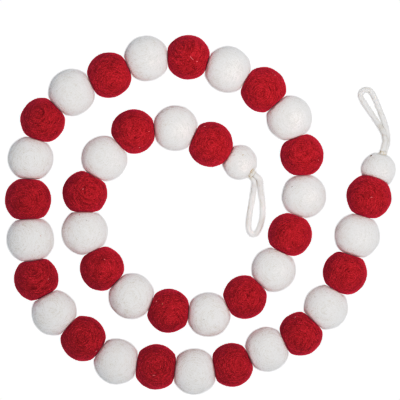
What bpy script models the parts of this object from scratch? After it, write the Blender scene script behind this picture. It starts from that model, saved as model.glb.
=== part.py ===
"""A garland of wool felt balls laid in a loose spiral, with a hanging loop of wool cord at each end.

Everything is in metres, +Z up. The garland lies on the plane z = 0, and the origin is on that plane at the
middle of the garland's length and width.
"""

import math
from collections import namedtuple

import bmesh
import bpy
from mathutils import Matrix, Vector, noise

MM = 0.001

# Felt balls
FLAT_DEPTH = 0.6 * MM  # how much of a ball's underside is pressed flat where it rests
FLAT_SNAP = 0.25 * MM  # points this near the flat underside move onto it
CONTACT_GAP = 0.3 * MM
RIM_ROUNDING = 4.0 * MM  # width over which a ball's round side turns into a face pressed flat
LUMP_HEIGHT = 0.5 * MM
LUMPS_PER_RADIUS = 1.6
LUMP_STEP = 7.3  # keeps one ball's lumps unlike the next one's
BALL_SEGMENTS = 16
BALL_RINGS = 10

# Hanging loops
CORD_DIAMETER = 6.0 * MM
CORD_BEVEL_RESOLUTION = 3
CORD_POINTS = 48
CORD_LEAD = 1.5 * MM  # how far the cord runs straight out of its binding
ENDS_APART = 6.4 * MM  # between the middles of the cord's two ends
LOOP_SEAT = 1.4 * MM  # how far the binding pulls the end ball's side flat
BINDING_LENGTH = 3.6 * MM
BINDING_HALF_WIDTH = 4.4 * MM
BINDING_HALF_HEIGHT = 6.4 * MM
BINDING_SIDES = 20
BINDING_ROUNDING = 1.2 * MM

Ball = namedtuple("Ball", "x_mm y_mm across_mm")
Loop = namedtuple("Loop", "name ball out first_tilt_deg route_mm")
Finish = namedtuple("Finish", "color roughness sheen")

# The balls in the order they are strung, from the outer end of the spiral. Each row is where the middle of
# the ball lies and how wide the ball is across the string. The first, third and so on are white.
BALLS = (
    Ball(193.5, 48.5, 38.0),
    Ball(183, 19.5, 49.0),
    Ball(170, -23, 49.5),
    Ball(157, -63.5, 48.5),
    Ball(136, -101, 48.5),
    Ball(108.5, -130, 48.0),
    Ball(71.5, -147, 48.5),
    Ball(33.5, -164, 48.0),
    Ball(-7.5, -171, 50.0),
    Ball(-49, -166, 49.5),
    Ball(-92, -160, 50.0),
    Ball(-128.5, -135, 49.5),
    Ball(-160, -107, 49.5),
    Ball(-179.5, -70, 48.5),
    Ball(-186, -27, 52.0),
    Ball(-188.5, 16, 50.5),
    Ball(-186, 61, 49.5),
    Ball(-172.5, 102.5, 49.0),
    Ball(-141, 133, 51.0),
    Ball(-100, 152, 49.5),
    Ball(-59.5, 170, 49.5),
    Ball(-14, 171.5, 49.0),
    Ball(29, 158, 50.5),
    Ball(68, 136, 49.5),
    Ball(96, 105, 49.5),
    Ball(110, 65, 47.5),
    Ball(112, 20, 48.5),
    Ball(97, -22, 48.0),
    Ball(79, -60, 48.5),
    Ball(48, -90, 47.5),
    Ball(8, -109, 48.5),
    Ball(-35, -105, 48.0),
    Ball(-76, -89, 50.0),
    Ball(-108, -59, 48.5),
    Ball(-127, -19, 50.5),
    Ball(-126.5, 23.5, 49.0),
    Ball(-105.5, 61, 50.0),
    Ball(-73.5, 90.5, 49.0),
    Ball(-28, 94, 49.5),
    Ball(10.5, 76.5, 49.0),
    Ball(42, 57, 37.5),
)

# Each loop's cord. out is the way it leaves the end ball, and first_tilt_deg is how far its first end is
# turned from straight above its second one, where both sit on the binding. The route goes out along one side,
# round the tip and back along the other.
LOOPS = (
    Loop(
        "outer",
        0,
        Vector((0.27, 0.96, 0.10)).normalized(),
        -21,
        (
            (199.6, 75.0, 23.6),
            (200.4, 79.0, 22.0),
            (200.4, 83.0, 18.9),
            (199.6, 87.0, 15.0),
            (198.2, 91.0, 11.6),
            (196.0, 95.2, 8.8),
            (193.2, 99.8, 6.6),
            (189.2, 106.3, 4.4),
            (183.4, 114.5, 3.2),
            (176.9, 124.0, 3.1),
            (174.3, 129.9, 3.1),
            (176.2, 135.0, 3.1),
            (181.0, 136.6, 3.1),
            (186.0, 133.9, 3.1),
            (190.9, 124.8, 3.1),
            (195.4, 113.9, 3.1),
            (199.6, 103.0, 3.1),
            (202.6, 92.5, 3.3),
            (203.5, 87.5, 4.2),
            (203.7, 83.0, 6.4),
            (203.4, 79.3, 9.6),
            (202.8, 76.0, 13.6),
            (202.0, 73.3, 16.6),
        ),
    ),
    Loop(
        "inner",
        len(BALLS) - 1,
        Vector((0.70, -0.70, 0.15)).normalized(),
        130,
        (
            (57.6, 37.4, 19.2),
            (58.1, 35.8, 18.1),
            (58.2, 34.3, 16.4),
            (57.8, 31.0, 12.3),
            (57.4, 27.5, 8.4),
            (57.0, 24.0, 5.5),
            (55.9, 18.0, 3.5),
            (54.2, 7.1, 3.1),
            (52.6, -2.7, 3.1),
            (51.8, -11.4, 3.1),
            (53.0, -18.4, 3.1),
            (57.2, -22.2, 3.1),
            (61.9, -19.0, 3.1),
            (65.4, -10.4, 3.1),
            (67.3, -1.1, 3.1),
            (67.4, 8.2, 3.1),
            (66.6, 17.0, 4.2),
            (65.6, 23.0, 6.9),
            (64.9, 27.5, 10.3),
            (64.5, 31.5, 14.4),
            (64.3, 35.0, 18.6),
            (63.9, 37.3, 21.2),
            (62.9, 39.4, 23.1),
            (61.4, 41.2, 23.8),
        ),
    ),
)

FINISHES = {
    "white_felt": Finish((0.76, 0.74, 0.70, 1.0), 0.95, 0.3),
    "red_felt": Finish((0.42, 0.012, 0.022, 1.0), 0.92, 0.3),
    "white_wool_cord": Finish((0.78, 0.76, 0.71, 1.0), 0.95, 0.3),
    "beige_thread": Finish((0.62, 0.52, 0.38, 1.0), 0.8, 0.1),
}


def clear_scene():
    """Removes whatever the scene opened with."""
    for item in list(bpy.data.objects):
        bpy.data.objects.remove(item, do_unlink=True)


def make_material(name):
    """A plain Principled material in the piece's colour."""
    finish = FINISHES[name]
    material = bpy.data.materials.new(name)
    material.use_nodes = True
    shader = material.node_tree.nodes["Principled BSDF"]
    shader.inputs["Base Color"].default_value = finish.color
    shader.inputs["Roughness"].default_value = finish.roughness
    shader.inputs["Metallic"].default_value = 0.0
    shader.inputs["Sheen Weight"].default_value = finish.sheen
    material.diffuse_color = finish.color
    return material


def add_object(name, data, collection, material):
    """Links a new object and gives it its material."""
    item = bpy.data.objects.new(name, data)
    collection.objects.link(item)
    data.materials.append(material)
    return item


def ball_radius(ball):
    return ball.across_mm * MM / 2


def ball_centre(ball):
    """The middle of the ball's sphere, low enough that its underside is pressed flat on z = 0."""
    return Vector((ball.x_mm * MM, ball.y_mm * MM, ball_radius(ball) - FLAT_DEPTH))


def contact_face(ball, neighbour):
    """The way to the neighbour, and how far off the face lies where the two are pressed together."""
    across = ball_centre(neighbour) - ball_centre(ball)
    apart = across.length
    squares = ball_radius(ball) ** 2 - ball_radius(neighbour) ** 2
    return across.normalized(), (apart + squares / apart) / 2 - CONTACT_GAP / 2


def faces_of(index):
    """Every flat face on the sides of a ball: one for each neighbour, and the loop's seat on an end ball."""
    ball = BALLS[index]
    faces = [contact_face(ball, BALLS[near]) for near in (index - 1, index + 1) if 0 <= near < len(BALLS)]
    faces += [(loop.out, ball_radius(ball) - LOOP_SEAT) for loop in LOOPS if loop.ball == index]
    return faces


def rounded_least(first, second, width):
    """The lesser of two distances, eased from one to the other where they differ by less than width."""
    shared = max(width - abs(first - second), 0.0) / width
    return min(first, second) - shared * shared * width / 4


def felt_distance(direction, radius, faces, index):
    """How far the felt reaches from the ball's middle in one direction."""
    place = direction * LUMPS_PER_RADIUS + Vector((index * LUMP_STEP, 0.0, 0.0))
    distance = radius + LUMP_HEIGHT * noise.noise(place)
    for way, face_distance in faces:
        towards = direction.dot(way)
        if towards > 0.1:
            width = min(RIM_ROUNDING, radius - face_distance)
            distance = rounded_least(distance, face_distance / towards, width)
    return distance


def press_flat(mesh, height):
    """Cuts the ball off at the surface it rests on and closes the cut with one flat face."""
    whole = mesh.verts[:] + mesh.edges[:] + mesh.faces[:]
    cut = bmesh.ops.bisect_plane(
        mesh,
        geom=whole,
        dist=FLAT_SNAP,
        plane_co=(0, 0, -height),
        plane_no=(0, 0, -1),
        clear_outer=True,
    )
    rim = [part for part in cut["geom_cut"] if isinstance(part, bmesh.types.BMEdge)]
    bmesh.ops.edgeloop_fill(mesh, edges=rim)
    for part in cut["geom_cut"]:
        if isinstance(part, bmesh.types.BMVert):
            part.co.z = -height
    bmesh.ops.recalc_face_normals(mesh, faces=mesh.faces)


def make_ball(index, collection, material, name):
    """One felt ball: a sphere with its poles on the string, pressed flat by its neighbours and by the floor."""
    ball = BALLS[index]
    centre = ball_centre(ball)
    before = ball_centre(BALLS[max(index - 1, 0)])
    after = ball_centre(BALLS[min(index + 1, len(BALLS) - 1)])
    string_turn = (after - before).to_track_quat("Z", "Y")
    faces = faces_of(index)
    mesh = bmesh.new()
    bmesh.ops.create_uvsphere(mesh, u_segments=BALL_SEGMENTS, v_segments=BALL_RINGS, radius=1)
    for point in mesh.verts:
        direction = string_turn @ point.co.normalized()
        point.co = direction * felt_distance(direction, ball_radius(ball), faces, index)
    press_flat(mesh, centre.z)
    data = bpy.data.meshes.new(name)
    mesh.to_mesh(data)
    mesh.free()
    data.shade_smooth()
    item = add_object(name, data, collection, material)
    item.location = centre
    return item


def smooth_points(route, count):
    """Evenly spaced points on the smooth curve through the route's own points."""
    ends = [route[0] * 2 - route[1]] + list(route) + [route[-1] * 2 - route[-2]]
    fine = []
    steps = 24
    for p0, p1, p2, p3 in zip(ends, ends[1:], ends[2:], ends[3:]):
        for step in range(steps):
            t = step / steps
            fine.append(
                0.5
                * (
                    2 * p1
                    + (p2 - p0) * t
                    + (2 * p0 - 5 * p1 + 4 * p2 - p3) * t ** 2
                    + (3 * p1 - p0 - 3 * p2 + p3) * t ** 3
                )
            )
    fine.append(route[-1].copy())
    reach = [0.0]
    for here, there in zip(fine, fine[1:]):
        reach.append(reach[-1] + (there - here).length)
    points = []
    at = 0
    for number in range(count):
        wanted = reach[-1] * number / (count - 1)
        while at < len(fine) - 2 and reach[at + 1] < wanted:
            at += 1
        share = (wanted - reach[at]) / (reach[at + 1] - reach[at])
        points.append(fine[at].lerp(fine[at + 1], min(share, 1.0)))
    return points


def binding_turn(loop):
    """The binding's own axes as a matrix: Z out of the ball, and Y from the cord's second end to its first."""
    tilt = math.radians(loop.first_tilt_deg)
    side = loop.out.cross(Vector((0.0, 0.0, 1.0))).normalized()
    long_way = side.cross(loop.out) * math.cos(tilt) + side * math.sin(tilt)
    return Matrix((long_way.cross(loop.out), long_way, loop.out)).transposed()


def binding_foot(loop):
    """The middle of the binding's inner face, just clear of the end ball's seat."""
    ball = BALLS[loop.ball]
    return ball_centre(ball) + loop.out * (ball_radius(ball) - LOOP_SEAT + CONTACT_GAP)


def make_loop(loop, collection, material):
    """The loop's cord, one even tube that leaves the binding and comes back to it."""
    name = loop.name + "_loop"
    curve = bpy.data.curves.new(name, "CURVE")
    curve.dimensions = "3D"
    curve.bevel_depth = CORD_DIAMETER / 2
    curve.bevel_resolution = CORD_BEVEL_RESOLUTION
    curve.use_fill_caps = True
    foot = binding_foot(loop) + loop.out * (BINDING_LENGTH + CONTACT_GAP)
    apart = binding_turn(loop).col[1] * ENDS_APART / 2
    lead = loop.out * CORD_LEAD
    route = [foot + apart + lead] + [Vector(point) * MM for point in loop.route_mm] + [foot - apart + lead]
    points = [foot + apart] + smooth_points(route, CORD_POINTS) + [foot - apart]
    spline = curve.splines.new("POLY")
    spline.points.add(len(points) - 1)
    for slot, point in zip(spline.points, points):
        slot.co = (*point, 1.0)
    spline.use_smooth = True
    return add_object(name, curve, collection, material)


def make_binding(loop, collection, material):
    """The thread binding as a short oval drum, seated between the end ball and the cord's two ends."""
    name = loop.name + "_binding"
    mesh = bmesh.new()
    bmesh.ops.create_cone(
        mesh,
        cap_ends=True,
        segments=BINDING_SIDES,
        radius1=1.0,
        radius2=1.0,
        depth=BINDING_LENGTH,
        matrix=Matrix.Diagonal((BINDING_HALF_WIDTH, BINDING_HALF_HEIGHT, 1.0, 1.0)),
    )
    data = bpy.data.meshes.new(name)
    mesh.to_mesh(data)
    mesh.free()
    data.shade_smooth()
    item = add_object(name, data, collection, material)
    item.rotation_euler = binding_turn(loop).to_euler()
    item.location = binding_foot(loop) + loop.out * BINDING_LENGTH / 2
    rounding = item.modifiers.new("rounded_edges", "BEVEL")
    rounding.width = BINDING_ROUNDING
    rounding.segments = 2
    return item


def main():
    clear_scene()
    collection = bpy.data.collections.new("felt_garland")
    bpy.context.scene.collection.children.link(collection)
    materials = {name: make_material(name) for name in FINISHES}
    for index in range(len(BALLS)):
        colour = "red" if index % 2 else "white"
        make_ball(index, collection, materials[colour + "_felt"], f"{colour}_ball_{index + 1:02d}")
    for loop in LOOPS:
        make_loop(loop, collection, materials["white_wool_cord"])
        make_binding(loop, collection, materials["beige_thread"])


main()
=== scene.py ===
"""The look of a garland of wool felt balls: felted relief, loose fibres, flecks of lint, hanging loops of
wool cord and the thread that sews them on. Lengths are in metres unless a name ends in _mm.
"""

import math
import random
from collections import namedtuple

import bmesh
import bpy
import numpy as np
from mathutils import Matrix, Quaternion, Vector, noise


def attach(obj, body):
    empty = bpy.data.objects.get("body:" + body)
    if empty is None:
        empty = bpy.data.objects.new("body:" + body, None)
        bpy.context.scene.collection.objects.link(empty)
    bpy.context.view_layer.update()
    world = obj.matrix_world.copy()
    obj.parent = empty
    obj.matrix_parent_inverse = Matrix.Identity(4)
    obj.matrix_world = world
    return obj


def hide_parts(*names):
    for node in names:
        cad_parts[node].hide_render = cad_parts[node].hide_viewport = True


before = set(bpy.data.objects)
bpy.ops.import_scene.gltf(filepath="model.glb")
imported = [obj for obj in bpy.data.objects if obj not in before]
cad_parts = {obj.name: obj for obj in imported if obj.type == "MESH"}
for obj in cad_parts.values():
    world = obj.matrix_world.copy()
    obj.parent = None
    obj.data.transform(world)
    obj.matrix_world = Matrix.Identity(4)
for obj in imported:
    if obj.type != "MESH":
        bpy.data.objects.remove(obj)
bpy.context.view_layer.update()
MM = 0.001

# View, as in the photograph: straight down from far away
VIEW_WIDTH = 436 * MM  # what the picture shows from side to side, at the height of the balls' middles
VIEW_MIDDLE = Vector((-1.1 * MM, 15.8 * MM, 24.5 * MM))
CAMERA_HEIGHT = 6.0
CAMERA_REACH = 20.0
SENSOR_MM = 36.0
PICTURE_PX = 400

# Light
SKY_COLOUR = (0.95, 0.985, 1.045, 1.0)
SKY_STRENGTH = 0.40
BOUNCE_STRENGTH = 0.76  # what comes back up off the ground
BOUNCE_SOFTNESS = 0.1  # how far above and below the horizon the one turns into the other
GROUND_HALF_SIZE = 3.0
GROUND_STRENGTH = 1.02
SOFT_BOX_PLACE = (0.52, -0.04, 1.5)
SOFT_BOX_AIM = (0.03, 0.10, 0.0)
SOFT_BOX_SIZE = 0.8
SOFT_BOX_POWER = 1.17
SOFT_BOX_COLOUR = (1.04, 1.0, 0.985)
SOFT_BOX_SPREAD = math.radians(36)

# The contrast of the photograph: how bright a tone comes out for how much light it gives
ALL_COLOURS_CURVE = 3
TONES = ((0.10, 0.065), (0.25, 0.180), (0.40, 0.405), (0.55, 0.605), (0.70, 0.728), (0.85, 0.815))

# Felt balls
BALL_SEGMENTS = 72
BALL_RINGS = 44
TOUCH_GAP = 0.04 * MM
RIM_ROUNDING = {"white": 1.8 * MM, "red": 3.6 * MM}
SMALL_BALL_RADIUS = 20.0 * MM
SMALL_BALL_ROUNDING = 1.6 * MM
LUMP_HEIGHT = 0.5 * MM
LUMPS_PER_RADIUS = 1.6
LUMP_STEP = 7.3
DENT_HEIGHT = 0.28 * MM
DENTS_PER_MM = 0.11
GRAIN_HEIGHT = 0.16 * MM
GRAIN_PER_MM = 0.3
PRESSED_FLAT = 0.35 * MM  # points of a CAD ball this far inside its sphere lie on a flat face
SPHERE_FIT_PASSES = 8
PRESSING_PASSES = 3
LEAST_FACING = 0.12  # a neighbour presses only on felt whose direction points this much towards it
SWIRL_LEAN_DEG = 35
GRAIN_STEP_MM = 61.0  # how far one ball's grain is set off from the next one's
BARE_NEAR_GROUND = 2.6 * MM

# How far each ball's felt is pushed into the next ball's where the two meet, in the order they are strung.
# A negative one is the next ball's felt pushed back into it.
PUSHES_MM = (
    -1.8, 1.0, 0.7, 0.9, 0.0, 0.0, -0.9, -0.7, -0.9, 0.0,
    -0.9, 0.0, -0.9, -0.7, -0.9, 0.0, -0.9, 0.0, 0.0, 0.9,
    0.0, 0.9, 0.0, 0.0, 0.7, 0.0, 0.0, 0.9, 0.0, 0.0,
    -0.9, -0.7, 0.0, 0.0, -0.9, -0.7, 0.0, 0.9, 0.7, 1.8,
)

# Hanging loops
CORD_DIAMETER = 6.0 * MM
CORD_SIDES = 28
CORD_RINGS = 190
CORD_LEAD = 1.5 * MM
ENDS_APART = 6.4 * MM
CONTACT_GAP = 0.3 * MM
LOOP_SEAT = 1.4 * MM
EASING_PASSES = 6
CORD_LUMP_HEIGHT = 0.36 * MM
CORD_LUMPS_PER_MM = 0.16
CORD_LUMPS_ROUND = 0.5
CORD_RIDGE_HEIGHT = 0.18 * MM
CORD_RIDGES_PER_MM = 0.1
CORD_RIDGES_ROUND = 2.6
CORD_GRAIN_STEP_MM = 400.0
CORD_BARE_RINGS = 3
ROUTE_STEPS = 24
# Painted shade on the cord, darker where another stretch of it lies beside or above: how far it reaches,
# how fast it deepens, how far below a point the other stretch may lie and still shade it, how far along the
# cord the other stretch must be, and its colours
PAINTED_SHADE_WIDE = 4.2 * MM
PAINTED_SHADE_DEEP = 0.9 * MM
PAINTED_SHADE_RISE = 1.5 * MM
PAINTED_SHADE_LEAST_APART = 25.0 * MM
PAINTED_SHADE_STOPS = ((0.36, (0.54, 0.51, 0.45, 1.0)), (0.60, (0.70, 0.675, 0.62, 1.0)))

# Bindings
BINDING_LENGTH = 3.6 * MM
BINDING_HALF_WIDTH = 4.2 * MM
BINDING_HALF_HEIGHT = 6.2 * MM
THREAD_THICKNESS = 0.7 * MM
THREAD_SIDES = 8
WINDINGS = 5.0
WINDING_STEPS = 40
FIRST_WINDING = 0.9  # its width, where the last one's is 1
CORE_SIDES = 40
CORE_FOOT = 0.86
CORE_TOP = 0.96
STITCHES = 9
STITCH_STRAY = 0.25
STITCH_RINGS = 9
STITCH_SIDES = 6
STITCH_THICKNESS = 0.8  # as a part of the thread's
STITCH_START = 0.94
STITCH_START_HEIGHT = 0.9 * MM
STITCH_KNEE = 1.12
STITCH_KNEE_HEIGHT = 0.25 * MM
STITCH_END_HEIGHT = -0.2 * MM
STITCH_LENGTHS_MM = (1.2, 2.6)
BINDING_FUZZ_SHARE = 0.5

FeltBall = namedtuple("FeltBall", "number node colour middle radius")
Loop = namedtuple("Loop", "name ball out first_tilt_deg length_mm paleness route_mm")

LOOPS = (
    Loop(
        name="outer",
        ball=1,
        out=Vector((0.27, 0.96, 0.10)).normalized(),
        first_tilt_deg=-21.0,
        length_mm=163.8,
        # painted shade: the outer loop's cord is coloured a little darker
        paleness=0.96,
        route_mm=(
            (199.6, 75.0, 23.6),
            (200.4, 79.0, 22.0),
            (200.4, 83.0, 18.9),
            (199.6, 87.0, 15.0),
            (198.2, 91.0, 11.6),
            (196.0, 95.2, 8.8),
            (193.2, 99.8, 6.6),
            (189.2, 106.3, 4.4),
            (183.4, 114.5, 3.2),
            (176.9, 124.0, 3.1),
            (174.3, 129.9, 3.1),
            (176.2, 135.0, 3.1),
            (181.0, 136.6, 3.1),
            (186.0, 133.9, 3.1),
            (190.9, 124.8, 3.1),
            (195.4, 113.9, 3.1),
            (199.6, 103.0, 3.1),
            (202.6, 92.5, 3.3),
            (203.5, 87.5, 4.2),
            (203.7, 83.0, 6.4),
            (203.4, 79.3, 9.6),
            (202.8, 76.0, 13.6),
            (202.0, 73.3, 16.6),
        ),
    ),
    Loop(
        name="inner",
        ball=41,
        out=Vector((0.70, -0.70, 0.15)).normalized(),
        first_tilt_deg=130.0,
        length_mm=151.0,
        # painted light: the inner loop's cord is coloured a little lighter
        paleness=1.02,
        route_mm=(
            (57.6, 37.4, 19.2),
            (58.1, 35.8, 18.1),
            (58.2, 34.3, 16.4),
            (57.8, 31.0, 12.3),
            (57.4, 27.5, 8.4),
            (57.0, 24.0, 5.5),
            (55.9, 18.0, 3.5),
            (54.2, 7.1, 3.1),
            (52.6, -2.7, 3.1),
            (51.8, -11.4, 3.1),
            (53.0, -18.4, 3.1),
            (57.2, -22.2, 3.1),
            (61.9, -19.0, 3.1),
            (65.4, -10.4, 3.1),
            (67.3, -1.1, 3.1),
            (67.4, 8.2, 3.1),
            (66.6, 17.0, 4.2),
            (65.6, 23.0, 6.9),
            (64.9, 27.5, 10.3),
            (64.5, 31.5, 14.4),
            (64.3, 35.0, 18.6),
            (63.9, 37.3, 21.2),
            (62.9, 39.4, 23.1),
            (61.4, 41.2, 23.8),
        ),
    ),
)

# Loose fibres of the felt
FibreSizes = namedtuple("FibreSizes", "per_cm2 length_mm thickness_mm spread_rad seed")
RED_FUZZ = FibreSizes(per_cm2=7.8, length_mm=1.3, thickness_mm=0.11, spread_rad=0.9, seed=3)
WHITE_FUZZ = FibreSizes(per_cm2=7.6, length_mm=1.3, thickness_mm=0.08, spread_rad=0.9, seed=4)
CORD_FUZZ = FibreSizes(per_cm2=60.0, length_mm=1.7, thickness_mm=0.12, spread_rad=1.0, seed=5)
RED_STRANDS = FibreSizes(per_cm2=3.3, length_mm=8.0, thickness_mm=0.17, spread_rad=1.1, seed=6)
WHITE_STRANDS = FibreSizes(per_cm2=3.0, length_mm=7.5, thickness_mm=0.15, spread_rad=1.3, seed=7)

# The shape of one fibre, where its whole length is 1: its foot or first end, its bend and its tip, how many
# pieces it bends in, how thick its tip is, and how long the shortest one is
FibreShape = namedtuple("FibreShape", "start middle end pieces tip shortest")
STANDING = FibreShape((0.0, 0.0, -0.12), (0.42, 0.05, 0.35), (0.10, 0.45, 0.95), 2, 0.35, 0.45)
LYING = FibreShape((-0.5, 0.0, -0.045), (0.0, 0.30, 0.055), (0.5, 0.0, -0.045), 4, 0.5, 0.4)

# The colours of loose fibres, from the darkest to the lightest, and of their sheen
FIBRE_COLOURS = {
    # The down on the red balls: real fuzz, coloured a brighter pink than the felt as a painted highlight at
    # the balls' rims
    "red_down": ((0.75, 0.02, 0.24, 1.0), (0.95, 0.08, 0.42, 1.0), (1.0, 0.3, 0.4, 1.0)),
    "red_fibre": ((0.32, 0.010, 0.017, 1.0), (0.56, 0.036, 0.064, 1.0), (1.0, 0.3, 0.4, 1.0)),
    # The down on the white balls: real fuzz, tinted lavender and a little greyer than the felt as painted
    # shade at the balls' rims
    "white_down": ((0.72, 0.68, 0.86, 1.0), (0.90, 0.87, 1.0, 1.0), (1.0, 1.0, 1.0, 1.0)),
    "cord_down": ((0.58, 0.55, 0.50, 1.0), (0.80, 0.78, 0.76, 1.0), (1.0, 1.0, 1.0, 1.0)),
    "white_fibre": ((0.74, 0.70, 0.64, 1.0), (0.93, 0.92, 0.90, 1.0), (1.0, 1.0, 1.0, 1.0)),
}

# Lint and flecks that the photograph shows, by where their middles lie in it
Fleck = namedtuple("Fleck", "ball across_px down_px length_mm width_mm turn_deg finish")
FLECKS = (
    Fleck(22, 192.0, 58.0, 6.0, 0.45, -45, "pale_lint"),
    Fleck(22, 197.0, 61.5, 1.2, 0.8, 0, "pale_lint"),
    Fleck(24, 275.0, 75.0, 4.0, 0.3, 30, "pale_lint"),
    Fleck(24, 273.0, 73.0, 3.0, 0.25, 70, "pale_lint"),
    Fleck(36, 83.0, 189.0, 1.2, 0.8, 20, "pale_lint"),
    Fleck(34, 104.5, 259.5, 1.1, 0.7, 0, "pale_lint"),
    Fleck(12, 96.0, 351.0, 1.4, 0.7, 40, "pale_lint"),
    Fleck(10, 154.0, 375.5, 3.0, 0.5, 10, "pale_lint"),
    Fleck(6, 294.8, 317.5, 5.0, 0.4, 80, "pale_lint"),
    Fleck(40, 204.5, 126.5, 4.0, 0.5, -40, "pale_lint"),
    Fleck(38, 149.0, 131.5, 1.3, 0.8, 0, "pale_lint"),
    Fleck(38, 139.5, 147.5, 1.3, 0.7, 30, "pale_lint"),
    Fleck(14, 48.0, 279.0, 3.5, 0.4, 60, "pale_lint"),
    Fleck(2, 371.5, 197.5, 3.0, 0.4, 10, "pale_lint"),
    Fleck(26, 318.5, 160.0, 4.0, 0.3, -35, "pale_lint"),
    Fleck(32, 156.5, 301.5, 1.2, 0.7, 0, "pale_lint"),
    Fleck(32, 162.3, 304.0, 2.0, 0.7, 85, "tan_lint"),
    Fleck(41, 243.0, 155.0, 2.2, 1.0, 60, "tan_lint"),
    Fleck(41, 251.6, 169.9, 6.0, 0.55, 32, "tan_lint"),
    Fleck(41, 250.4, 172.0, 1.6, 0.6, 0, "tan_lint"),
    Fleck(35, 79.5, 215.0, 1.6, 0.9, 0, "rosy_lint"),
    Fleck(15, 40.5, 236.0, 1.2, 0.9, 0, "rosy_lint"),
    Fleck(35, 86.6, 220.2, 1.4, 0.6, -20, "dark_lint"),
    Fleck(35, 89.0, 221.2, 1.2, 0.55, 30, "dark_lint"),
    Fleck(37, 101.0, 177.5, 2.0, 0.8, 20, "tan_lint"),
    Fleck(5, 327.0, 293.0, 1.8, 0.6, 50, "dark_lint"),
    Fleck(5, 315.0, 297.0, 1.4, 0.6, 0, "dark_lint"),
    Fleck(27, 292.0, 187.0, 2.0, 0.7, 30, "dark_lint"),
    Fleck(31, 204.0, 319.5, 1.2, 0.8, 0, "dark_lint"),
    Fleck(1, 371.2, 156.0, 3.2, 1.2, 40, "dark_lint"),
)
LINT_FINISHES = {
    "pale_lint": ((0.86, 0.55, 0.58, 1.0), "white_felt"),
    "tan_lint": ((0.62, 0.40, 0.20, 1.0), "beige_thread"),
    "rosy_lint": ((0.60, 0.20, 0.16, 1.0), "red_felt"),
    "dark_lint": ((0.16, 0.12, 0.11, 1.0), "beige_thread"),
}
LINT_SIDES = 6
LINT_RINGS = 9
LINT_BEND = 0.18
LINT_LIFT = 0.15
LINT_ENDS = 0.25  # how thick a fleck's ends are, where its middle is 1
LINT_SHADE = 0.6


def ride_on_root(piece, slot, *nodes):
    """Makes a finished piece part of the garland, in place of the CAD nodes it stands for."""
    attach(piece, "root")
    if nodes:
        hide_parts(*nodes)


def add_mesh(name, mesh):
    item = bpy.data.objects.new(name, mesh)
    bpy.context.scene.collection.objects.link(item)
    return item


def add_attribute(mesh, name, kind, values):
    """Stores a number or a vector for each of a mesh's points."""
    layer = mesh.attributes.new(name, kind, "POINT")
    field = "vector" if kind == "FLOAT_VECTOR" else "value"
    layer.data.foreach_set(field, np.asarray(values, float).ravel())


def set_input(node, name, value):
    node.inputs[name].default_value = value


# View and light


def make_camera():
    data = bpy.data.cameras.new("photo_camera")
    data.sensor_width = SENSOR_MM
    data.lens = SENSOR_MM * (CAMERA_HEIGHT - VIEW_MIDDLE.z) / VIEW_WIDTH
    data.clip_end = CAMERA_REACH
    camera = bpy.data.objects.new("photo_camera", data)
    bpy.context.scene.collection.objects.link(camera)
    camera.location = (VIEW_MIDDLE.x, VIEW_MIDDLE.y, CAMERA_HEIGHT)
    bpy.context.scene.camera = camera


def make_floor():
    """A white ground with no shadow on it. The garland is lit from below by the sky in its place."""
    mesh = bpy.data.meshes.new("white_ground")
    shape = bmesh.new()
    bmesh.ops.create_grid(shape, x_segments=1, y_segments=1, size=GROUND_HALF_SIZE)
    shape.to_mesh(mesh)
    shape.free()
    floor = add_mesh("white_ground", mesh)
    material = bpy.data.materials.new("white_ground")
    material.use_nodes = True
    tree = material.node_tree
    tree.nodes.clear()
    glow = tree.nodes.new("ShaderNodeEmission")
    set_input(glow, "Color", (1.0, 1.0, 1.0, 1.0))
    set_input(glow, "Strength", GROUND_STRENGTH)
    output = tree.nodes.new("ShaderNodeOutputMaterial")
    tree.links.new(glow.outputs[0], output.inputs["Surface"])
    mesh.materials.append(material)
    floor.visible_diffuse = False


def make_sky():
    """Even light from all round, stronger from below, where it comes back up off the ground."""
    world = bpy.data.worlds.new("studio")
    bpy.context.scene.world = world
    world.use_nodes = True
    tree = world.node_tree
    set_input(tree.nodes["Background"], "Color", SKY_COLOUR)
    split = tree.nodes.new("ShaderNodeSeparateXYZ")
    tree.links.new(tree.nodes.new("ShaderNodeTexCoord").outputs["Generated"], split.inputs[0])
    strength = tree.nodes.new("ShaderNodeMapRange")
    set_input(strength, "From Min", -BOUNCE_SOFTNESS)
    set_input(strength, "From Max", BOUNCE_SOFTNESS)
    set_input(strength, "To Min", BOUNCE_STRENGTH)
    set_input(strength, "To Max", SKY_STRENGTH)
    tree.links.new(split.outputs["Z"], strength.inputs["Value"])
    tree.links.new(strength.outputs["Result"], tree.nodes["Background"].inputs["Strength"])


def make_soft_box():
    data = bpy.data.lights.new("soft_box", "AREA")
    data.shape = "DISK"
    data.size = SOFT_BOX_SIZE
    data.spread = SOFT_BOX_SPREAD
    data.energy = SOFT_BOX_POWER
    data.color = SOFT_BOX_COLOUR
    light = bpy.data.objects.new("soft_box", data)
    bpy.context.scene.collection.objects.link(light)
    light.location = SOFT_BOX_PLACE
    beam = Vector(SOFT_BOX_AIM) - Vector(SOFT_BOX_PLACE)
    light.rotation_euler = beam.to_track_quat("-Z", "Y").to_euler()


def set_tones():
    settings = bpy.context.scene.view_settings
    settings.view_transform = "Standard"
    settings.use_curve_mapping = True
    for light_given, tone in TONES:
        settings.curve_mapping.curves[ALL_COLOURS_CURVE].points.new(light_given, tone)
    settings.curve_mapping.update()


# Materials


def start_finish(name, roughness, specular, sheen, sheen_tint):
    material = bpy.data.materials.new(name)
    material.use_nodes = True
    shader = material.node_tree.nodes["Principled BSDF"]
    set_input(shader, "Roughness", roughness)
    set_input(shader, "Specular IOR Level", specular)
    set_input(shader, "Sheen Weight", sheen)
    set_input(shader, "Sheen Roughness", 0.5)
    set_input(shader, "Sheen Tint", sheen_tint)
    return material, shader


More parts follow.
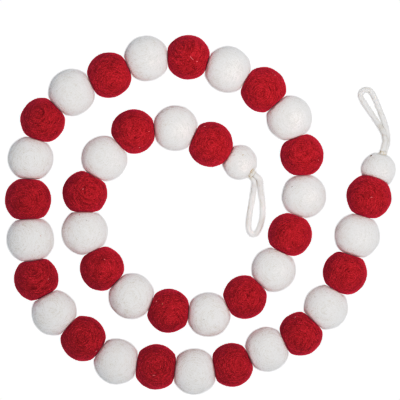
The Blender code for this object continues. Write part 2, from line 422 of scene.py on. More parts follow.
def fibre_cloud(tree, place, scale, turn, detail, distortion):
    """Noise drawn out into fibres along the ways in which its scale is small."""
    mapping = tree.nodes.new("ShaderNodeMapping")
    set_input(mapping, "Scale", scale)
    set_input(mapping, "Rotation", turn)
    cloud = tree.nodes.new("ShaderNodeTexNoise")
    set_input(cloud, "Scale", 1.0)
    set_input(cloud, "Detail", detail)
    set_input(cloud, "Roughness", 0.6)
    set_input(cloud, "Distortion", distortion)
    tree.links.new(place, mapping.inputs["Vector"])
    tree.links.new(mapping.outputs[0], cloud.inputs["Vector"])
    return cloud.outputs["Fac"]


def blend_of(tree, first, second, share, kind="FLOAT"):
    """Two values or colours mixed; the share of the second is a number or a socket."""
    node = tree.nodes.new("ShaderNodeMix")
    node.data_type = kind
    sockets = [one for one in node.inputs if one.enabled]
    for socket, value in zip(sockets, (share, first, second)):
        if isinstance(value, float):
            socket.default_value = value
        else:
            tree.links.new(value, socket)
    return next(one for one in node.outputs if one.enabled)


def colour_by(tree, value, stops):
    """A colour ramp from stops of place and colour, in order."""
    ramp = tree.nodes.new("ShaderNodeValToRGB")
    elements = ramp.color_ramp.elements
    elements[0].position, elements[0].color = stops[0]
    elements[1].position, elements[1].color = stops[-1]
    for place, colour in stops[1:-1]:
        elements.new(place).color = colour
    tree.links.new(value, ramp.inputs["Fac"])
    return ramp.outputs["Color"]


def raise_grain(tree, shader, height, strength, distance):
    bump = tree.nodes.new("ShaderNodeBump")
    set_input(bump, "Strength", strength)
    set_input(bump, "Distance", distance)
    tree.links.new(height, bump.inputs["Height"])
    tree.links.new(bump.outputs["Normal"], shader.inputs["Normal"])


def attribute_of(tree, name, output):
    node = tree.nodes.new("ShaderNodeAttribute")
    node.attribute_name = name
    return node.outputs[output]


def felt_grain(tree, place):
    """Felted wool: swirling fibres that cross one another, with fine specks between them."""
    rings = fibre_cloud(tree, place, (0.95, 0.11, 0.11), (0.0, 0.0, 0.0), 1.0, 0.4)
    crossing = fibre_cloud(tree, place, (0.9, 0.4, 0.4), (0.5, 0.0, 0.9), 1.0, 0.7)
    specks = fibre_cloud(tree, place, (1.1, 1.1, 1.1), (0.0, 0.0, 0.0), 1.0, 0.3)
    patches = fibre_cloud(tree, place, (0.07, 0.07, 0.07), (0.0, 0.0, 0.0), 2.0, 0.4)
    woven = blend_of(tree, rings, crossing, patches)
    grain = blend_of(tree, woven, specks, 0.5)
    return grain, blend_of(tree, grain, patches, 0.1)


def red_felt():
    material, shader = start_finish("red_felt_wool", 0.95, 0.02, 0.60, (1.0, 0.04, 0.15, 1.0))
    tree = material.node_tree
    grain, tone = felt_grain(tree, attribute_of(tree, "felt_place", "Vector"))
    stops = (
        (0.37, (0.14, 0.0042, 0.0060, 1.0)),
        (0.47, (0.37, 0.0160, 0.0215, 1.0)),
        (0.53, (0.45, 0.0210, 0.0310, 1.0)),
        (0.62, (0.66, 0.0420, 0.0720, 1.0)),
    )
    tree.links.new(colour_by(tree, tone, stops), shader.inputs["Base Color"])
    raise_grain(tree, shader, grain, 0.8, 0.6 * MM)
    return material


def white_felt():
    material, shader = start_finish("white_felt_wool", 0.95, 0.06, 0.16, (1.0, 0.98, 1.0, 1.0))
    tree = material.node_tree
    set_input(shader, "Subsurface Weight", 0.9)
    set_input(shader, "Subsurface Radius", (1.0, 0.97, 0.95))
    set_input(shader, "Subsurface Scale", 9 * MM)
    grain, tone = felt_grain(tree, attribute_of(tree, "felt_place", "Vector"))
    stops = (
        (0.38, (0.655, 0.61, 0.535, 1.0)),
        (0.47, (0.845, 0.83, 0.795, 1.0)),
        (0.60, (0.95, 0.94, 0.925, 1.0)),
    )
    tree.links.new(colour_by(tree, tone, stops), shader.inputs["Base Color"])
    raise_grain(tree, shader, grain, 0.9, 0.5 * MM)
    return material


def wool_cord(loop):
    material, shader = start_finish(loop.name + "_wool_cord", 0.95, 0.08, 0.15, (1.0, 0.98, 0.95, 1.0))
    tree = material.node_tree
    set_input(shader, "Subsurface Weight", 0.4)
    set_input(shader, "Subsurface Radius", (1.0, 0.95, 0.88))
    set_input(shader, "Subsurface Scale", 1.2 * MM)
    place = attribute_of(tree, "cord_place", "Vector")
    drawn = fibre_cloud(tree, place, (0.9, 0.9, 0.14), (0.0, 0.0, 0.0), 3.0, 0.8)
    slack = fibre_cloud(tree, place, (0.12, 0.12, 0.10), (0.0, 0.0, 0.0), 2.0, 0.5)
    tone = blend_of(tree, drawn, slack, 0.5)
    stops = (
        (0.36, (0.72, 0.675, 0.60, 1.0)),
        (0.46, (0.84, 0.825, 0.79, 1.0)),
        (0.58, (0.90, 0.895, 0.875, 1.0)),
    )
    # Painted light and shade: each loop's copy of the one cord wool is made lighter or darker by its own
    # factor
    stops = [(at, tuple(part * loop.paleness for part in colour[:3]) + (1.0,)) for at, colour in stops]
    open_wool = colour_by(tree, tone, stops)
    # Painted shade: the wool is coloured darker where another stretch of the cord lies beside or above
    painted_shade_wool = colour_by(tree, drawn, PAINTED_SHADE_STOPS)
    painted_shade_share = attribute_of(tree, "cord_crease", "Fac")
    wool = blend_of(tree, open_wool, painted_shade_wool, painted_shade_share, "RGBA")
    tree.links.new(wool, shader.inputs["Base Color"])
    raise_grain(tree, shader, drawn, 0.7, 0.4 * MM)
    return material


def beige_thread():
    material, shader = start_finish("beige_thread", 0.85, 0.15, 0.1, (1.0, 0.95, 0.85, 1.0))
    tree = material.node_tree
    place = tree.nodes.new("ShaderNodeTexCoord").outputs["Object"]
    twist = fibre_cloud(tree, place, (2600.0, 2600.0, 1200.0), (0.0, 0.4, 0.0), 2.0, 0.6)
    worn = fibre_cloud(tree, place, (500.0, 500.0, 500.0), (0.0, 0.0, 0.0), 2.0, 0.6)
    stops = (
        (0.40, (0.60, 0.50, 0.38, 1.0)),
        (0.46, (0.74, 0.69, 0.60, 1.0)),
        (0.54, (0.81, 0.79, 0.745, 1.0)),
    )
    tree.links.new(colour_by(tree, blend_of(tree, worn, twist, 0.3), stops), shader.inputs["Base Color"])
    raise_grain(tree, shader, twist, 0.6, 0.1 * MM)
    return material


def loose_fibre(name, dark, light, sheen_tint):
    """Single fibres, each a little darker or lighter than the next."""
    material, shader = start_finish(name, 0.8, 0.1, 0.1, sheen_tint)
    tree = material.node_tree
    tone = attribute_of(tree, "fibre_tone", "Fac")
    tree.links.new(colour_by(tree, tone, ((0.0, dark), (1.0, light))), shader.inputs["Base Color"])
    return material


def lint_finish(name, colour):
    material, shader = start_finish(name, 0.9, 0.1, 0.1, (1.0, 1.0, 1.0, 1.0))
    tree = material.node_tree
    place = tree.nodes.new("ShaderNodeTexCoord").outputs["Object"]
    cloud = fibre_cloud(tree, place, (1800.0, 1800.0, 1800.0), (0.0, 0.0, 0.0), 2.0, 0.3)
    darker = tuple(LINT_SHADE * part for part in colour[:3]) + (1.0,)
    tree.links.new(colour_by(tree, cloud, ((0.35, darker), (0.6, colour))), shader.inputs["Base Color"])
    raise_grain(tree, shader, cloud, 0.5, 0.1 * MM)
    return material


# Geometry node trees


class Tree:
    """A geometry node tree with named inputs, built one node at a time."""

    def __init__(self, name, sockets):
        self.data = bpy.data.node_groups.new(name, "GeometryNodeTree")
        for label, kind in sockets:
            self.data.interface.new_socket(label, in_out="INPUT", socket_type="NodeSocket" + kind)
        self.data.interface.new_socket("Geometry", in_out="OUTPUT", socket_type="NodeSocketGeometry")
        self.given = self.data.nodes.new("NodeGroupInput").outputs
        self.result = self.data.nodes.new("NodeGroupOutput").inputs

    def add(self, kind, settings=None, **values):
        """A node, with its sockets set or joined by name; an underscore in a name stands for a space."""
        node = self.data.nodes.new(kind)
        for key, value in (settings or {}).items():
            setattr(node, key, value)
        for key, value in values.items():
            self.join(node, key.replace("_", " "), value)
        return node

    def join(self, node, label, value):
        socket = next(one for one in node.inputs if one.name == label and one.enabled)
        if isinstance(value, bpy.types.NodeSocket):
            self.data.links.new(value, socket)
        else:
            socket.default_value = value

    def sum(self, operation, first, second):
        node = self.data.nodes.new("ShaderNodeMath")
        node.operation = operation
        for socket, value in zip(node.inputs, (first, second)):
            if isinstance(value, bpy.types.NodeSocket):
                self.data.links.new(value, socket)
            else:
                socket.default_value = value
        return node.outputs[0]

    def chance(self, kind, low, high, seed):
        node = self.add("FunctionNodeRandomValue", {"data_type": kind}, Min=low, Max=high, Seed=seed)
        return next(one for one in node.outputs if one.enabled)

    def finish(self, geometry, material):
        loose = self.add("GeometryNodeRealizeInstances", Geometry=geometry)
        painted = self.add("GeometryNodeSetMaterial", Geometry=loose.outputs[0], Material=material)
        self.data.links.new(painted.outputs[0], self.result["Geometry"])


def run_tree(tree, name, values):
    """Runs a tree with its inputs set, and gives what it makes as a plain mesh of its own."""
    holder = add_mesh(name, bpy.data.meshes.new(name))
    modifier = holder.modifiers.new(tree.data.name, "NODES")
    modifier.node_group = tree.data
    for item in tree.data.interface.items_tree:
        if item.in_out == "INPUT":
            modifier[item.identifier] = values[item.name]
    graph = bpy.context.evaluated_depsgraph_get()
    grown = holder.evaluated_get(graph)
    mesh = bpy.data.meshes.new_from_object(grown, preserve_all_data_layers=True, depsgraph=graph)
    holder.modifiers.remove(modifier)
    holder.data = mesh
    mesh.name = name
    return holder


def felt_points(tree):
    """Points all over the open felt of a collection's pieces, more where the felt is open."""
    pieces = tree.add("GeometryNodeCollectionInfo", Collection=tree.given["Pieces"])
    felt = tree.add("GeometryNodeRealizeInstances", Geometry=pieces.outputs[0])
    is_open = tree.add("GeometryNodeInputNamedAttribute", {"data_type": "FLOAT"}, Name="felt_open")
    density = tree.sum("MULTIPLY", tree.given["Fibres per m2"], is_open.outputs[0])
    return tree.add(
        "GeometryNodeDistributePointsOnFaces",
        Mesh=felt.outputs[0],
        Density=density,
        Seed=tree.given["Seed"],
    )


def fibre_along(tree, shape):
    """A curved fibre of unit length, thinner towards its tip, closed at both ends."""
    line = tree.add(
        "GeometryNodeCurveQuadraticBezier",
        Resolution=shape.pieces,
        Start=shape.start,
        Middle=shape.middle,
        End=shape.end,
    )
    part = tree.add("GeometryNodeSplineParameter")
    thinner = tree.sum("SUBTRACT", 1.0, tree.sum("MULTIPLY", part.outputs["Factor"], 1.0 - shape.tip))
    tapered = tree.add("GeometryNodeSetCurveRadius", Curve=line.outputs[0], Radius=thinner)
    radius = tree.sum("DIVIDE", tree.sum("DIVIDE", tree.given["Thickness"], tree.given["Length"]), 2.0)
    round_profile = tree.add("GeometryNodeCurvePrimitiveCircle", Resolution=3, Radius=radius)
    return tree.add(
        "GeometryNodeCurveToMesh",
        Curve=tapered.outputs[0],
        Profile_Curve=round_profile.outputs[0],
        Scale=thinner,
        Fill_Caps=True,
    ).outputs[0]


def place_fibres(tree, points, fibre, rotation, shortest):
    size = tree.sum("MULTIPLY", tree.given["Length"], tree.chance("FLOAT", shortest, 1.0, 5))
    placed = tree.add(
        "GeometryNodeInstanceOnPoints", Points=points, Instance=fibre, Rotation=rotation, Scale=size
    )
    toned = tree.add(
        "GeometryNodeStoreNamedAttribute",
        {"data_type": "FLOAT", "domain": "INSTANCE"},
        Geometry=placed.outputs[0],
        Name="fibre_tone",
        Value=tree.chance("FLOAT", 0.0, 1.0, 6),
    )
    tree.finish(toned.outputs[0], tree.given["Material"])


FIBRE_SOCKETS = (
    ("Pieces", "Collection"),
    ("Fibres per m2", "Float"),
    ("Length", "Float"),
    ("Thickness", "Float"),
    ("Spread", "Float"),
    ("Seed", "Int"),
    ("Material", "Material"),
)


def fuzz_tree():
    """Short curled fibres that stand up out of the felt; Spread is how far they may lean, in radians."""
    tree = Tree("standing_fuzz", FIBRE_SOCKETS)
    points = felt_points(tree)
    fibre = fibre_along(tree, STANDING)
    lean = tree.sum("MULTIPLY", tree.given["Spread"], tree.chance("FLOAT", -1.0, 1.0, 3))
    angles = tree.add("ShaderNodeCombineXYZ", X=lean, Z=tree.chance("FLOAT", 0.0, 2 * math.pi, 4))
    turn = tree.add("FunctionNodeEulerToRotation", Euler=angles.outputs[0])
    rotation = tree.add(
        "FunctionNodeRotateRotation",
        {"rotation_space": "LOCAL"},
        Rotation=points.outputs["Rotation"],
        Rotate_By=turn.outputs[0],
    )
    place_fibres(tree, points.outputs["Points"], fibre, rotation.outputs[0], STANDING.shortest)
    return tree


def strand_tree():
    """Fibres that lie along the felt's swirl; Spread is how far they stray from it, in radians."""
    tree = Tree("lying_strands", FIBRE_SOCKETS)
    points = felt_points(tree)
    fibre = fibre_along(tree, LYING)
    axis = tree.add("GeometryNodeInputNamedAttribute", {"data_type": "FLOAT_VECTOR"}, Name="felt_axis")
    along = tree.data.nodes.new("ShaderNodeVectorMath")
    along.operation = "CROSS_PRODUCT"
    tree.data.links.new(points.outputs["Normal"], along.inputs[0])
    tree.data.links.new(axis.outputs[0], along.inputs[1])
    laid = tree.add(
        "FunctionNodeAxesToRotation",
        {"primary_axis": "Z", "secondary_axis": "X"},
        Primary_Axis=points.outputs["Normal"],
        Secondary_Axis=along.outputs[0],
    )
    stray = tree.sum("MULTIPLY", tree.given["Spread"], tree.chance("FLOAT", -1.0, 1.0, 3))
    half_turn = tree.sum("MULTIPLY", math.pi, tree.sum("ROUND", tree.chance("FLOAT", 0.0, 1.0, 7), 0.0))
    angles = tree.add("ShaderNodeCombineXYZ", Z=tree.sum("ADD", stray, half_turn))
    turn = tree.add("FunctionNodeEulerToRotation", Euler=angles.outputs[0])
    rotation = tree.add(
        "FunctionNodeRotateRotation",
        {"rotation_space": "LOCAL"},
        Rotation=laid.outputs[0],
        Rotate_By=turn.outputs[0],
    )
    place_fibres(tree, points.outputs["Points"], fibre, rotation.outputs[0], LYING.shortest)
    return tree


def winding_tree():
    """Thread wound round an oval core, one turn beside the next."""
    sockets = (
        ("Turns", "Float"),
        ("Length", "Float"),
        ("Half Width", "Float"),
        ("Half Height", "Float"),
        ("Thickness", "Float"),
        ("Material", "Material"),
    )
    tree = Tree("thread_windings", sockets)
    spiral = tree.add(
        "GeometryNodeCurveSpiral",
        Resolution=WINDING_STEPS,
        Rotations=tree.given["Turns"],
        Start_Radius=FIRST_WINDING,
        End_Radius=1.0,
        Height=tree.given["Length"],
    )
    oval = tree.add("ShaderNodeCombineXYZ", X=tree.given["Half Width"], Y=tree.given["Half Height"], Z=1.0)
    wound = tree.add("GeometryNodeTransform", Geometry=spiral.outputs[0], Scale=oval.outputs[0])
    radius = tree.sum("DIVIDE", tree.given["Thickness"], 2.0)
    round_profile = tree.add("GeometryNodeCurvePrimitiveCircle", Resolution=THREAD_SIDES, Radius=radius)
    thread = tree.add(
        "GeometryNodeCurveToMesh",
        Curve=wound.outputs[0],
        Profile_Curve=round_profile.outputs[0],
        Fill_Caps=True,
    )
    tree.finish(thread.outputs[0], tree.given["Material"])
    return tree


# Hanging loops


def smooth_points(route, count):
    """Evenly spaced points on the smooth curve through the route's own points."""
    ends = [route[0] * 2 - route[1]] + list(route) + [route[-1] * 2 - route[-2]]
    fine = []
    for p0, p1, p2, p3 in zip(ends, ends[1:], ends[2:], ends[3:]):
        for step in range(ROUTE_STEPS):
            t = step / ROUTE_STEPS
            fine.append(
                0.5
                * (
                    2 * p1
                    + (p2 - p0) * t
                    + (2 * p0 - 5 * p1 + 4 * p2 - p3) * t ** 2
                    + (3 * p1 - p0 - 3 * p2 + p3) * t ** 3
                )
            )
    fine.append(route[-1].copy())
    reach = [0.0]
    for here, there in zip(fine, fine[1:]):
        reach.append(reach[-1] + (there - here).length)
    points = []
    at = 0
    for number in range(count):
        wanted = reach[-1] * number / (count - 1)
        while at < len(fine) - 2 and reach[at + 1] < wanted:
            at += 1
        share = (wanted - reach[at]) / (reach[at + 1] - reach[at])
        points.append(fine[at].lerp(fine[at + 1], min(share, 1.0)))
    return points


def eased(points):
    """The same line with its sharpest bends a little rounder."""
    for _ in range(EASING_PASSES):
        middles = [(a + b * 2 + c) / 4 for a, b, c in zip(points, points[1:], points[2:])]
        points = [points[0]] + middles + [points[-1]]
    return points


def binding_turn(loop):
    """The binding's own axes: Z out of the ball, and Y from the cord's second end to its first."""
    tilt = math.radians(loop.first_tilt_deg)
    side = loop.out.cross(Vector((0.0, 0.0, 1.0))).normalized()
    long_way = side.cross(loop.out) * math.cos(tilt) + side * math.sin(tilt)
    return Matrix((long_way.cross(loop.out), long_way, loop.out)).transposed()


def binding_foot(loop, balls):
    """The middle of the binding's inner face, just clear of the end ball's seat."""
    ball = balls[loop.ball - 1]
    return ball.middle + loop.out * (ball.radius - LOOP_SEAT + CONTACT_GAP)


def tube_frames(points):
    """At each point of a line, two ways square to it that turn as little as they can."""
    frames = []
    side = None
    for number in range(len(points)):
        along = (points[min(number + 1, len(points) - 1)] - points[max(number - 1, 0)]).normalized()
        if side is None:
            side = along.orthogonal().normalized()
        side = (side - along * side.dot(along)).normalized()
        frames.append((side.copy(), along.cross(side)))
    return frames


def tube_mesh(name, points, sides, radius_at):
    """A closed tube along a line; radius_at gives the radius at a ring and a way round it."""
    shape = bmesh.new()
    rings = []
    for number, (point, (side, up)) in enumerate(zip(points, tube_frames(points))):
        ring = []
        for step in range(sides):
            angle = 2 * math.pi * step / sides
            radius = radius_at(number, angle)
            ring.append(shape.verts.new(point + (side * math.cos(angle) + up * math.sin(angle)) * radius))
        rings.append(ring)
    for ring, following in zip(rings, rings[1:]):
        for step in range(sides):
            after = (step + 1) % sides
            shape.faces.new((ring[step], ring[after], following[after], following[step]))
    for ring, flip in ((rings[0], True), (rings[-1], False)):
        middle = shape.verts.new(sum((point.co for point in ring), Vector()) / sides)
        for step in range(sides):
            after = (step + 1) % sides
            corners = (ring[step], ring[after], middle)
            shape.faces.new(corners[::-1] if flip else corners)
    mesh = bpy.data.meshes.new(name)
    shape.to_mesh(mesh)
    shape.free()
    mesh.shade_smooth()
    return mesh


def painted_shade_of(points, along, line):
    """How much painted shade each point gets, from 0 to 1: how deep it lies beside or under another stretch
    of the same cord.
    """
    painted_shades = np.zeros(len(points))
    for place, reach in line:
        beside = np.linalg.norm(points[:, :2] - place[:2], axis=1)
        near = np.clip((PAINTED_SHADE_WIDE - beside) / PAINTED_SHADE_DEEP, 0.0, 1.0)
        other = (np.abs(along - reach) > PAINTED_SHADE_LEAST_APART) & (place[2] > points[:, 2] - PAINTED_SHADE_RISE)
        painted_shades = np.maximum(painted_shades, np.where(other, near, 0.0))
    return painted_shades


def make_loop(loop, balls, material):
    """The loop's cord of felted wool, which leaves its binding and comes back to it."""
    foot = binding_foot(loop, balls) + loop.out * (BINDING_LENGTH + CONTACT_GAP)
    apart = binding_turn(loop).col[1] * ENDS_APART / 2
    lead = loop.out * CORD_LEAD
    route = [foot + apart + lead] + [Vector(point) * MM for point in loop.route_mm] + [foot - apart + lead]
    points = [foot + apart] + eased(smooth_points(route, CORD_RINGS)) + [foot - apart]
    reach = [0.0]
    for here, there in zip(points, points[1:]):
        reach.append(reach[-1] + (there - here).length)

    def radius_at(ring, angle):
        along = reach[ring] / MM
        round_way = Vector((math.cos(angle), math.sin(angle), 0.0))
        lump_place = round_way * CORD_LUMPS_ROUND + Vector((0.0, loop.ball, along * CORD_LUMPS_PER_MM))
        ridge_place = round_way * CORD_RIDGES_ROUND + Vector((0.0, loop.ball, along * CORD_RIDGES_PER_MM))
        lumps = noise.noise(lump_place)
        ridges = noise.noise(ridge_place)
        return CORD_DIAMETER / 2 + lumps * CORD_LUMP_HEIGHT + ridges * CORD_RIDGE_HEIGHT

    mesh = tube_mesh(loop.name + "_cord", points, CORD_SIDES, radius_at)
    for point in mesh.vertices:
        point.co.z = max(point.co.z, 0.0)
    ring_of = np.minimum(np.arange(len(mesh.vertices)) // CORD_SIDES, len(points) - 1)
    angles = 2 * math.pi * (np.arange(len(mesh.vertices)) % CORD_SIDES) / CORD_SIDES
    radius_mm = CORD_DIAMETER / 2 / MM
    along_mm = np.array(reach)[ring_of] / MM + CORD_GRAIN_STEP_MM * loop.ball
    places = np.column_stack((radius_mm * np.cos(angles), radius_mm * np.sin(angles), along_mm))
    add_attribute(mesh, "cord_place", "FLOAT_VECTOR", places)
    heights = np.array([point.co.z for point in mesh.vertices])
    clear = (ring_of > CORD_BARE_RINGS) & (ring_of < len(points) - 1 - CORD_BARE_RINGS)
    add_attribute(mesh, "felt_open", "FLOAT", clear & (heights > BARE_NEAR_GROUND))
    surface = np.array([point.co[:] for point in mesh.vertices])
    line = [(np.array(point), there) for point, there in zip(points, reach)]
    # The share of painted shade at each point of the cord
    add_attribute(mesh, "cord_crease", "FLOAT", painted_shade_of(surface, np.array(reach)[ring_of], line))
    mesh.materials.append(material)
    piece = add_mesh(mesh.name, mesh)
    ride_on_root(piece, "white_wool_cord", loop.name + "_loop")
    return piece


def stitch_radius(ring, angle):
    return THREAD_THICKNESS * STITCH_THICKNESS / 2


def make_binding(loop, balls, windings, material):
    """The turns of thread round the cord's gathered ends, and the stitches that hold them to the ball."""
    ball = balls[loop.ball - 1]
    place = Matrix.Translation(binding_foot(loop, balls)) @ binding_turn(loop).to_4x4()
    half = THREAD_THICKNESS / 2
    values = {
        "Turns": WINDINGS,
        "Length": BINDING_LENGTH - THREAD_THICKNESS,
        "Half Width": BINDING_HALF_WIDTH - half,
        "Half Height": BINDING_HALF_HEIGHT - half,
        "Thickness": THREAD_THICKNESS,
        "Material": material,
    }
    piece = run_tree(windings, loop.name + "_thread_binding", values)
    piece.data.transform(place @ Matrix.Translation((0.0, 0.0, half)))
    shape = bmesh.new()
    shape.from_mesh(piece.data)
    bmesh.ops.create_cone(
        shape,
        cap_ends=True,
        segments=CORE_SIDES,
        radius1=CORE_FOOT,
        radius2=CORE_TOP,
        depth=BINDING_LENGTH,
        matrix=place
        @ Matrix.Translation((0.0, 0.0, BINDING_LENGTH / 2))
        @ Matrix.Diagonal((BINDING_HALF_WIDTH - half, BINDING_HALF_HEIGHT - half, 1.0, 1.0)),
    )
    draw = random.Random(loop.ball)
    for number in range(STITCHES):
        angle = 2 * math.pi * (number + draw.uniform(-STITCH_STRAY, STITCH_STRAY)) / STITCHES
        across = math.cos(angle) * STITCH_START * (BINDING_HALF_WIDTH - half)
        upward = math.sin(angle) * STITCH_START * (BINDING_HALF_HEIGHT - half)
        rim = Vector((across, upward, STITCH_START_HEIGHT))
        reach = 1.0 + draw.uniform(*STITCH_LENGTHS_MM) * MM / rim.length
        start = place @ rim
        knee = place @ Vector((rim.x * STITCH_KNEE, rim.y * STITCH_KNEE, 0.0))
        end = place @ Vector((rim.x * reach, rim.y * reach, 0.0))
        route = [start, on_felt(ball, knee, STITCH_KNEE_HEIGHT), on_felt(ball, end, STITCH_END_HEIGHT)]
        points = smooth_points(route, STITCH_RINGS)
        shape.from_mesh(tube_mesh("stitch", points, STITCH_SIDES, stitch_radius))
    shape.to_mesh(piece.data)
    shape.free()
    piece.data.shade_smooth()
    add_attribute(piece.data, "felt_open", "FLOAT", np.full(len(piece.data.vertices), BINDING_FUZZ_SHARE))
    ride_on_root(piece, "beige_thread", loop.name + "_binding")
    return piece


def on_felt(ball, point, height):
    """The point of the ball's round side that lies under a point, raised by a height."""
    return ball.middle + (point - ball.middle).normalized() * (ball.radius + height)


# Felt balls


def felt_sphere(node):
    """The middle and radius of the sphere through the round part of a ball's CAD solid."""
    points = np.array([point.co[:] for point in node.data.vertices])
    round_part = np.ones(len(points), bool)
    for _ in range(SPHERE_FIT_PASSES):
        chosen = points[round_part]
        rows = np.column_stack((2 * chosen, np.ones(len(chosen))))
        answer = np.linalg.lstsq(rows, (chosen ** 2).sum(axis=1), rcond=None)[0]
        radius = math.sqrt(answer[3] + answer[:3] @ answer[:3])
        round_part = np.linalg.norm(points - answer[:3], axis=1) > radius - PRESSED_FLAT
    return Vector(answer[:3]), radius


def read_balls():
    """The balls in the order they are strung, as the CAD has them."""
    names = sorted((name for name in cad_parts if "_ball_" in name), key=lambda name: int(name[-2:]))
    balls = []
    for name in names:
        middle, radius = felt_sphere(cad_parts[name])
        balls.append(FeltBall(int(name[-2:]), name, name.split("_")[0], middle, radius))
    return balls


def contact_of(ball, neighbour):
    """The way to the neighbour, and the shared face's distance, radius, push and rounded rim."""
    across = neighbour.middle - ball.middle
    apart = across.length
    face = (apart + (ball.radius ** 2 - neighbour.radius ** 2) / apart) / 2
    first = min(ball.number, neighbour.number)
    push = PUSHES_MM[first - 1] * MM
    if neighbour.number == first:
        push = -push
    wide = math.sqrt(max(ball.radius ** 2 - face ** 2, 1e-6))
    small = min(ball.radius, neighbour.radius) < SMALL_BALL_RADIUS
    rounding = SMALL_BALL_ROUNDING if small else RIM_ROUNDING[ball.colour]
    return np.array(across.normalized()), face - TOUCH_GAP / 2, wide, push, rounding


def rounded_least(first, second, width):
    shared = np.maximum(width - np.abs(first - second), 0.0) / width
    return np.minimum(first, second) - shared * shared * width / 4


def felt_relief(direction, ball, turn):
    """Lumps, dents and the felted grain, as a height above the sphere."""
    step = Vector((0.0, 0.0, 0.0))
    step.x = (ball.number - 1) * LUMP_STEP
    lumps = LUMP_HEIGHT * noise.noise(direction * LUMPS_PER_RADIUS + step)
    place = direction * (ball.radius / MM)
    dents = DENT_HEIGHT * noise.noise(place * DENTS_PER_MM + step)
    swirl = turn @ place
    grain = Vector((swirl.x * GRAIN_PER_MM, swirl.y * GRAIN_PER_MM * 0.35, swirl.z * GRAIN_PER_MM * 0.35))
    return lumps + dents + GRAIN_HEIGHT * noise.noise(grain + step)


def unit_ball():
    """Directions and faces of a ball with its poles on Z, always in the same order."""
    points = [(0.0, 0.0, 1.0)]
    for ring in range(1, BALL_RINGS):
        down = math.pi * ring / BALL_RINGS
        wide = math.sin(down)
        for step in range(BALL_SEGMENTS):
            angle = 2 * math.pi * step / BALL_SEGMENTS
            points.append((wide * math.cos(angle), wide * math.sin(angle), math.cos(down)))
    points.append((0.0, 0.0, -1.0))
    bottom = len(points) - 1
    faces = []
    for step in range(BALL_SEGMENTS):
        after = (step + 1) % BALL_SEGMENTS
        faces.append((0, 1 + step, 1 + after))
        for ring in range(BALL_RINGS - 2):
            upper = 1 + ring * BALL_SEGMENTS
            lower = upper + BALL_SEGMENTS
            faces.append((upper + step, lower + step, lower + after, upper + after))
        lowest = bottom - BALL_SEGMENTS
        faces.append((lowest + step, bottom, lowest + after))
    mesh = bpy.data.meshes.new("unit_ball")
    mesh.from_pydata(points, [], faces)
    return mesh


def swirl_turn(ball):
    """The way a ball's fibres swirl: mostly round an upright line, a little different on each ball."""
    draw = random.Random(ball.number)
    lean = math.radians(90 + draw.uniform(-SWIRL_LEAN_DEG, SWIRL_LEAN_DEG))
    tilt = Quaternion((0.0, 1.0, 0.0), lean)
    return tilt @ Quaternion((0.0, 0.0, 1.0), draw.uniform(0, 2 * math.pi))


def pressed(ways, free, faces, radius):
    """How far out the felt lies each way, once the faces have pressed it in or let it bulge."""
    distance = free.copy()
    for way, face, wide, push, rounding in faces:
        towards = ways @ way
        facing = towards > LEAST_FACING
        along = np.where(facing, towards, 1.0)
        beside = np.sqrt(np.maximum(1 - along ** 2, 0.0))
        reach = face / along
        for _ in range(PRESSING_PASSES):
            reach = (face + push * np.maximum(1 - (reach * beside / wide) ** 2, 0.0)) / along
        width = min(rounding, radius - face)
        distance = np.where(facing, rounded_least(distance, reach, width), distance)
    return distance


def make_felt_ball(ball, balls, pattern, materials, seats):
    """One felt ball: pressed against its neighbours and flat where it rests, with its felted relief."""
    before = balls[max(ball.number - 2, 0)]
    after = balls[min(ball.number, len(balls) - 1)]
    string = (after.middle - before.middle).to_track_quat("Z", "Y")
    turn = swirl_turn(ball)
    directions = [string @ point.co for point in pattern.vertices]
    free = np.array([ball.radius + felt_relief(way, ball, turn) for way in directions])
    ways = np.array([way[:] for way in directions])
    faces = [contact_of(ball, near) for near in (before, after) if near is not ball]
    for number, out, reach in seats:
        if number == ball.number:
            faces.append((np.array(out), reach, 1.0, 0.0, SMALL_BALL_ROUNDING))
    distance = pressed(ways, free, faces, ball.radius)
    points = ways * distance[:, None] + np.array(ball.middle)
    is_open = (free - distance < PRESSED_FLAT) & (points[:, 2] > BARE_NEAR_GROUND)
    points[:, 2] = np.maximum(points[:, 2], 0.0)
    mesh = pattern.copy()
    mesh.name = f"{ball.colour}_felt_ball_{ball.number:02d}"
    mesh.vertices.foreach_set("co", points.ravel())
    swirled = np.array([(turn @ Vector(point))[:] for point in (points - np.array(ball.middle)) / MM])
    reach = np.linalg.norm(swirled, axis=1)
    swirled[:, 0] = reach * np.arccos(swirled[:, 0] / reach) + ball.number * GRAIN_STEP_MM
    axis = turn.inverted() @ Vector((1.0, 0.0, 0.0))
    add_attribute(mesh, "felt_place", "FLOAT_VECTOR", swirled)
    add_attribute(mesh, "felt_open", "FLOAT", is_open)
    add_attribute(mesh, "felt_axis", "FLOAT_VECTOR", np.tile(np.array(axis), (len(points), 1)))
    mesh.shade_smooth()
    mesh.update()
    mesh.materials.append(materials[ball.colour])
    piece = add_mesh(mesh.name, mesh)
    ride_on_root(piece, ball.colour + "_felt", ball.node)
    return piece


# Loose fibres and lint


def grow_fibres(tree, name, pieces, sizes, material, slot):
    """Fibres grown all over some pieces, as one piece of their own."""
    group = bpy.data.collections.new(name)
    for piece in pieces:
        group.objects.link(piece)
    values = {
        "Pieces": group,
        "Fibres per m2": sizes.per_cm2 * 10000,
        "Length": sizes.length_mm * MM,
        "Thickness": sizes.thickness_mm * MM,
        "Spread": sizes.spread_rad,
        "Seed": sizes.seed,
        "Material": material,
    }
    fibres = run_tree(tree, name, values)
    bpy.data.collections.remove(group)
    ride_on_root(fibres, slot)
    return fibres


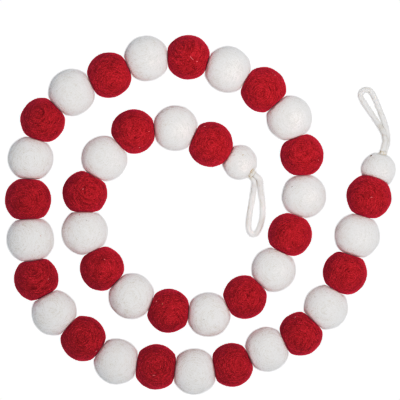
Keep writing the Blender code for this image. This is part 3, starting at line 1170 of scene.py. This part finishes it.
def seen_place(ball, across_px, down_px):
    """Where the camera's line through a point of the picture meets a ball."""
    eye = Vector((VIEW_MIDDLE.x, VIEW_MIDDLE.y, CAMERA_HEIGHT))
    per_px = VIEW_WIDTH / PICTURE_PX
    right = (across_px - PICTURE_PX / 2) * per_px
    up = (PICTURE_PX / 2 - down_px) * per_px
    way = (Vector((VIEW_MIDDLE.x + right, VIEW_MIDDLE.y + up, VIEW_MIDDLE.z)) - eye).normalized()
    offset = eye - ball.middle
    half = offset.dot(way)
    inside = half ** 2 - offset.length_squared + ball.radius ** 2
    return eye + way * (-half - math.sqrt(max(inside, 0.0)))


def make_lint(balls):
    """Short stray fibres of other wool that cling to the balls."""
    for finish, (colour, slot) in LINT_FINISHES.items():
        shape = bmesh.new()
        for number, fleck in enumerate(FLECKS):
            if fleck.finish != finish:
                continue
            ball = balls[fleck.ball - 1]
            middle = seen_place(ball, fleck.across_px, fleck.down_px)
            turn = math.radians(fleck.turn_deg)
            along = Vector((math.cos(turn), math.sin(turn), 0.0))
            bend = Vector((-along.y, along.x, 0.0)) * LINT_BEND * (1 if number % 2 else -1)
            half = fleck.length_mm * MM / 2
            lift = fleck.width_mm * MM * LINT_LIFT
            route = [
                on_felt(ball, middle - along * half, lift),
                on_felt(ball, middle + bend * half, lift * 1.5),
                on_felt(ball, middle + along * half, lift),
            ]
            thick = fleck.width_mm * MM / 2

            def radius_at(ring, angle):
                fullness = math.sin(math.pi * (ring + 0.5) / LINT_RINGS)
                return thick * (LINT_ENDS + (1 - LINT_ENDS) * fullness)

            mesh = tube_mesh("fleck", smooth_points(route, LINT_RINGS), LINT_SIDES, radius_at)
            shape.from_mesh(mesh)
        mesh = bpy.data.meshes.new(finish)
        shape.to_mesh(mesh)
        shape.free()
        mesh.shade_smooth()
        mesh.materials.append(lint_finish(finish, colour))
        ride_on_root(add_mesh(finish, mesh), slot)


def main():
    make_camera()
    balls = read_balls()
    cords = [make_loop(loop, balls, wool_cord(loop)) for loop in LOOPS]
    make_floor()
    make_sky()
    make_soft_box()
    set_tones()
    windings = winding_tree()
    thread = beige_thread()
    bindings = [make_binding(loop, balls, windings, thread) for loop in LOOPS]
    materials = {"white": white_felt(), "red": red_felt()}
    seats = [(loop.ball, loop.out, balls[loop.ball - 1].radius - LOOP_SEAT) for loop in LOOPS]
    pattern = unit_ball()
    pieces = {"white": [], "red": []}
    for ball in balls:
        pieces[ball.colour].append(make_felt_ball(ball, balls, pattern, materials, seats))
    fuzz = fuzz_tree()
    strands = strand_tree()
    loose = {name: loose_fibre(name, *colours) for name, colours in FIBRE_COLOURS.items()}
    grow_fibres(fuzz, "red_fuzz", pieces["red"], RED_FUZZ, loose["red_down"], "red_felt")
    grow_fibres(fuzz, "white_fuzz", pieces["white"], WHITE_FUZZ, loose["white_down"], "white_felt")
    grow_fibres(fuzz, "cord_fuzz", cords + bindings, CORD_FUZZ, loose["cord_down"], "white_wool_cord")
    grow_fibres(strands, "red_strands", pieces["red"], RED_STRANDS, loose["red_fibre"], "red_felt")
    grow_fibres(
        strands, "white_strands", pieces["white"], WHITE_STRANDS, loose["white_fibre"], "white_felt"
    )
    make_lint(balls)


main()
